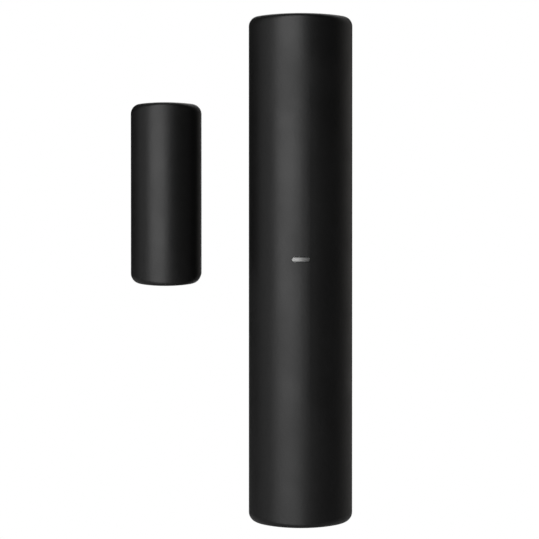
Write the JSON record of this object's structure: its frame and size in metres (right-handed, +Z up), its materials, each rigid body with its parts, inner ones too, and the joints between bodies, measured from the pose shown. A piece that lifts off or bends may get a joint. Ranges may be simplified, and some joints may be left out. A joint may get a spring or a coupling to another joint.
{
  "type": "door contact sensor",
  "caption": "Slim D-section wireless door sensor and its separate magnet, each sliding onto a bracket fixed to the door frame or the door.",
  "frame": {"origin": "on the detector bracket's back face, behind the middle of the detector", "axes": "+Z up along the detector, +Y into the wall, +X to the right of someone who faces the object"},
  "size_m": [0.0429, 0.0225, 0.0986],
  "materials": {
    "black_plastic": "fine-textured moulded plastic",
    "grey_plastic": "moulded plastic",
    "natural_plastic": "moulded plastic",
    "clear_plastic": "clear light pipe",
    "green_board": "solder-masked board",
    "chip_black": "moulded chip",
    "terminal_green": "moulded terminal",
    "steel": "plated steel",
    "bright_can": "tin-plated sheet",
    "copper": "copper wire",
    "gold": "plated contact spring",
    "glass": "sealed glass tube",
    "magnet": "nickel-plated magnet",
    "foam": "closed-cell foam",
    "tape": "double-sided foam tape",
    "label": "blank label",
    "sleeve": "shrunk sleeve",
    "cell": "wound cell",
    "capacitor": "capacitor can",
    "ceramic": "chip capacitor",
    "led": "light diode"
  },
  "bodies": {
    "frame_bracket": {"frame_bracket": "black_plastic", "mounting_tape": "tape"},
    "detector": {"front_housing": "black_plastic", "rear_cover": "black_plastic", "cover_screws": "steel", "rear_label": "label", "light_pipe": "clear_plastic", "circuit_board": "green_board", "status_led": "led", "microcontroller": "chip_black", "radio_shield": "bright_can", "radio_chip": "chip_black", "antenna_coil": "copper", "reed_glass": "glass", "reed_leads": "steel", "reservoir_capacitor": "capacitor", "capacitor_base": "chip_black", "crystal_can": "bright_can", "chip_parts": "ceramic", "tamper_switch": "chip_black", "tamper_spring": "gold", "power_switch": "steel", "terminal_socket": "terminal_green", "terminal_clips": "gold", "battery_cradle": "grey_plastic", "battery_can": "steel", "battery_core": "cell", "battery_sleeve": "sleeve", "positive_contact": "gold", "negative_contact": "gold", "battery_spring": "gold"},
    "tamper_plunger": {"tamper_plunger": "natural_plastic"},
    "power_button": {"power_button": "natural_plastic"},
    "door_bracket": {"magnet_bracket": "black_plastic", "magnet_tape": "tape"},
    "magnet_unit": {"magnet_housing": "black_plastic", "magnet_cover": "black_plastic", "magnet_cover_screw": "steel", "bar_magnet": "magnet", "magnet_foam": "foam"}
  },
  "joints": [
    {"name": "detector_slide", "type": "slide", "parent": "frame_bracket", "child": "detector", "axis": [0, 0, 1], "range_m": [0, 0.006]},
    {"name": "tamper_plunger", "type": "slide", "parent": "detector", "child": "tamper_plunger", "axis": [0, 1, 0], "range_m": [0, 0.0009], "deforming": ["tamper_spring"]},
    {"name": "power_button", "type": "slide", "parent": "detector", "child": "power_button", "axis": [0, -1, 0], "range_m": [0, 0.00035], "stiffness_N_per_m": 400},
    {"name": "door_opening", "type": "slide", "parent": "frame_bracket", "child": "door_bracket", "axis": [0, -1, 0], "range_m": [0, 0.06]},
    {"name": "magnet_slide", "type": "slide", "parent": "door_bracket", "child": "magnet_unit", "axis": [0, 0, 1], "range_m": [0, 0.0042]}
  ],
  "couplings": [
    {"joint": "tamper_plunger", "follows": "detector_slide", "ratio": 0.15}
  ]
}
